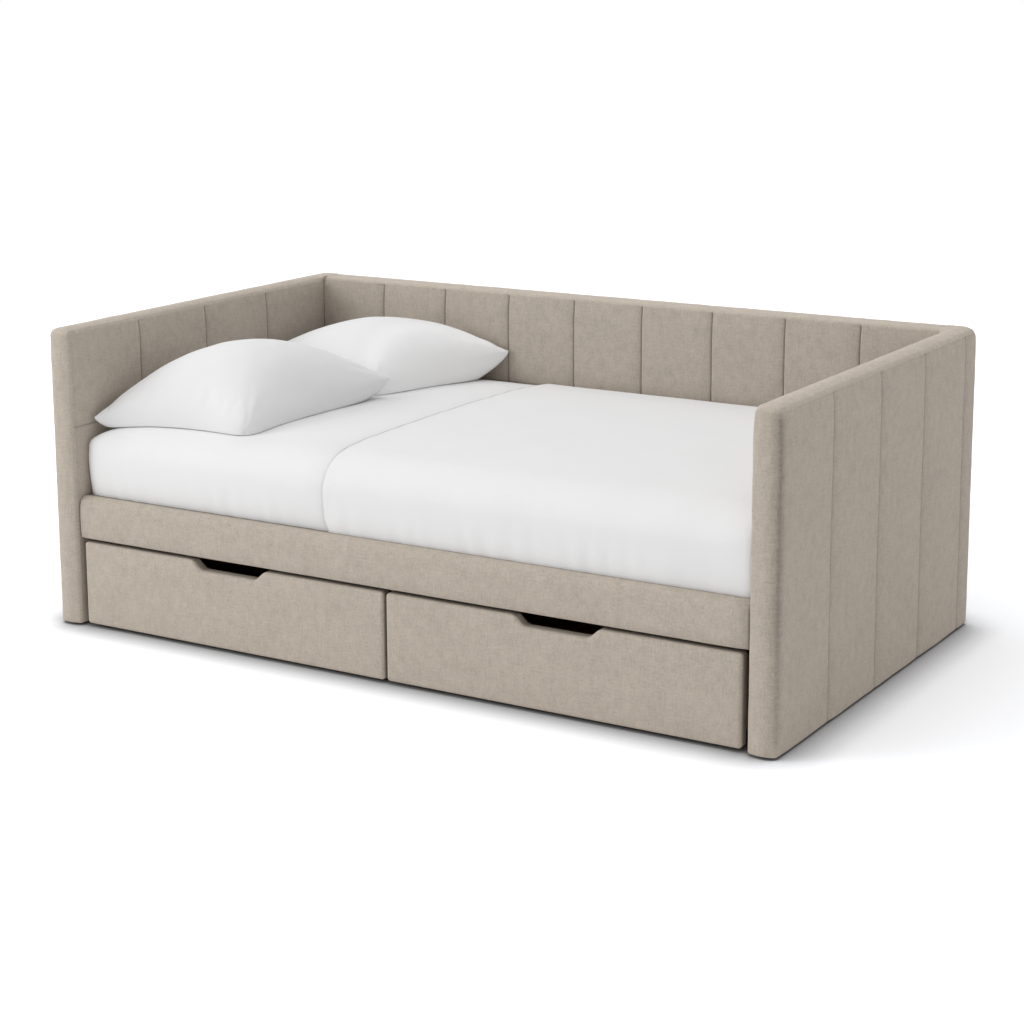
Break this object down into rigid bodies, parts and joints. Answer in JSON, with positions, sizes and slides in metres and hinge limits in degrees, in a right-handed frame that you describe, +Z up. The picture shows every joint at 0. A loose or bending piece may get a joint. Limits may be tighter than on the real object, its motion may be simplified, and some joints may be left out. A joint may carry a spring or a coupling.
{
  "type": "storage daybed",
  "caption": "Upholstered daybed with channel-stitched arms and back, a slatted base with mattress, cover and loose pillows, and rolling storage drawers under the front rail.",
  "frame": {"origin": "on the floor under the middle of the daybed", "axes": "+X along the daybed's length, +Y from the open front towards the back, +Z up; the drawers pull out towards -Y"},
  "size_m": [2.07, 1.196, 0.785],
  "materials": {
    "upholstery": "matte",
    "bedding": "matte",
    "wood": "satin",
    "black_plastic": "matte",
    "steel": "satin"
  },
  "bodies": {
    "daybed_frame": {"left_arm_board": "wood", "right_arm_board": "wood", "left_arm_cover": "upholstery", "right_arm_cover": "upholstery", "back_board": "wood", "back_cover": "upholstery", "rail_board": "wood", "rail_cover": "upholstery", "front_ledger": "wood", "back_ledger": "wood", "centre_beam": "wood", "centre_divider": "wood", "rear_stop_rail": "wood", "slat_01": "wood", "slat_02": "wood", "slat_03": "wood", "slat_04": "wood", "slat_05": "wood", "slat_06": "wood", "slat_07": "wood", "slat_08": "wood", "slat_09": "wood", "left_front_glide": "black_plastic", "left_rear_glide": "black_plastic", "right_front_glide": "black_plastic", "right_rear_glide": "black_plastic", "divider_front_glide": "black_plastic", "divider_rear_glide": "black_plastic", "left_front_bracket": "steel", "right_front_bracket": "steel", "left_rear_bracket": "steel", "right_rear_bracket": "steel", "mattress": "bedding", "bed_cover": "bedding"},
    "front_pillow": {"pillow_front": "bedding"},
    "rear_pillow": {"pillow_rear": "bedding"},
    "left_drawer": {"left_drawer_front_board": "wood", "left_drawer_front_cover": "upholstery", "left_drawer_bottom": "wood", "left_drawer_left_side": "wood", "left_drawer_right_side": "wood", "left_drawer_rear": "wood", "left_drawer_left_runner": "black_plastic", "left_drawer_right_runner": "black_plastic"},
    "right_drawer": {"right_drawer_front_board": "wood", "right_drawer_front_cover": "upholstery", "right_drawer_bottom": "wood", "right_drawer_left_side": "wood", "right_drawer_right_side": "wood", "right_drawer_rear": "wood", "right_drawer_left_runner": "black_plastic", "right_drawer_right_runner": "black_plastic"},
    "left_drawer_wheel_1": {"left_drawer_left_front_wheel": "black_plastic"},
    "left_drawer_wheel_2": {"left_drawer_left_rear_wheel": "black_plastic"},
    "left_drawer_wheel_3": {"left_drawer_right_front_wheel": "black_plastic"},
    "left_drawer_wheel_4": {"left_drawer_right_rear_wheel": "black_plastic"},
    "right_drawer_wheel_1": {"right_drawer_left_front_wheel": "black_plastic"},
    "right_drawer_wheel_2": {"right_drawer_left_rear_wheel": "black_plastic"},
    "right_drawer_wheel_3": {"right_drawer_right_front_wheel": "black_plastic"},
    "right_drawer_wheel_4": {"right_drawer_right_rear_wheel": "black_plastic"}
  },
  "joints": [
    {"name": "left_drawer_slide", "type": "slide", "parent": "daybed_frame", "child": "left_drawer", "axis": [0, -1, 0], "range_m": [0, 0.6]},
    {"name": "right_drawer_slide", "type": "slide", "parent": "daybed_frame", "child": "right_drawer", "axis": [0, -1, 0], "range_m": [0, 0.6]},
    {"name": "front_pillow_lift", "type": "slide", "parent": "daybed_frame", "child": "front_pillow", "axis": [0, 0, 1], "range_m": [0, 0.4]},
    {"name": "rear_pillow_lift", "type": "slide", "parent": "daybed_frame", "child": "rear_pillow", "axis": [0, 0, 1], "range_m": [0, 0.4]},
    {"name": "left_drawer_wheel_1_spin", "type": "hinge", "parent": "left_drawer", "child": "left_drawer_wheel_1", "pos_m": [-0.923, -0.5117, 0.018], "axis": [1, 0, 0], "continuous": true},
    {"name": "left_drawer_wheel_2_spin", "type": "hinge", "parent": "left_drawer", "child": "left_drawer_wheel_2", "pos_m": [-0.923, 0.1483, 0.018], "axis": [1, 0, 0], "continuous": true},
    {"name": "left_drawer_wheel_3_spin", "type": "hinge", "parent": "left_drawer", "child": "left_drawer_wheel_3", "pos_m": [-0.027, -0.5117, 0.018], "axis": [1, 0, 0], "continuous": true},
    {"name": "left_drawer_wheel_4_spin", "type": "hinge", "parent": "left_drawer", "child": "left_drawer_wheel_4", "pos_m": [-0.027, 0.1483, 0.018], "axis": [1, 0, 0], "continuous": true},
    {"name": "right_drawer_wheel_1_spin", "type": "hinge", "parent": "right_drawer", "child": "right_drawer_wheel_1", "pos_m": [0.027, -0.5117, 0.018], "axis": [1, 0, 0], "continuous": true},
    {"name": "right_drawer_wheel_2_spin", "type": "hinge", "parent": "right_drawer", "child": "right_drawer_wheel_2", "pos_m": [0.027, 0.1483, 0.018], "axis": [1, 0, 0], "continuous": true},
    {"name": "right_drawer_wheel_3_spin", "type": "hinge", "parent": "right_drawer", "child": "right_drawer_wheel_3", "pos_m": [0.923, -0.5117, 0.018], "axis": [1, 0, 0], "continuous": true},
    {"name": "right_drawer_wheel_4_spin", "type": "hinge", "parent": "right_drawer", "child": "right_drawer_wheel_4", "pos_m": [0.923, 0.1483, 0.018], "axis": [1, 0, 0], "continuous": true}
  ],
  "couplings": [
    {"joint": "left_drawer_wheel_1_spin", "follows": "left_drawer_slide", "rad_per_m": 57.143},
    {"joint": "left_drawer_wheel_2_spin", "follows": "left_drawer_slide", "rad_per_m": 57.143},
    {"joint": "left_drawer_wheel_3_spin", "follows": "left_drawer_slide", "rad_per_m": 57.143},
    {"joint": "left_drawer_wheel_4_spin", "follows": "left_drawer_slide", "rad_per_m": 57.143},
    {"joint": "right_drawer_wheel_1_spin", "follows": "right_drawer_slide", "rad_per_m": 57.143},
    {"joint": "right_drawer_wheel_2_spin", "follows": "right_drawer_slide", "rad_per_m": 57.143},
    {"joint": "right_drawer_wheel_3_spin", "follows": "right_drawer_slide", "rad_per_m": 57.143},
    {"joint": "right_drawer_wheel_4_spin", "follows": "right_drawer_slide", "rad_per_m": 57.143}
  ]
}
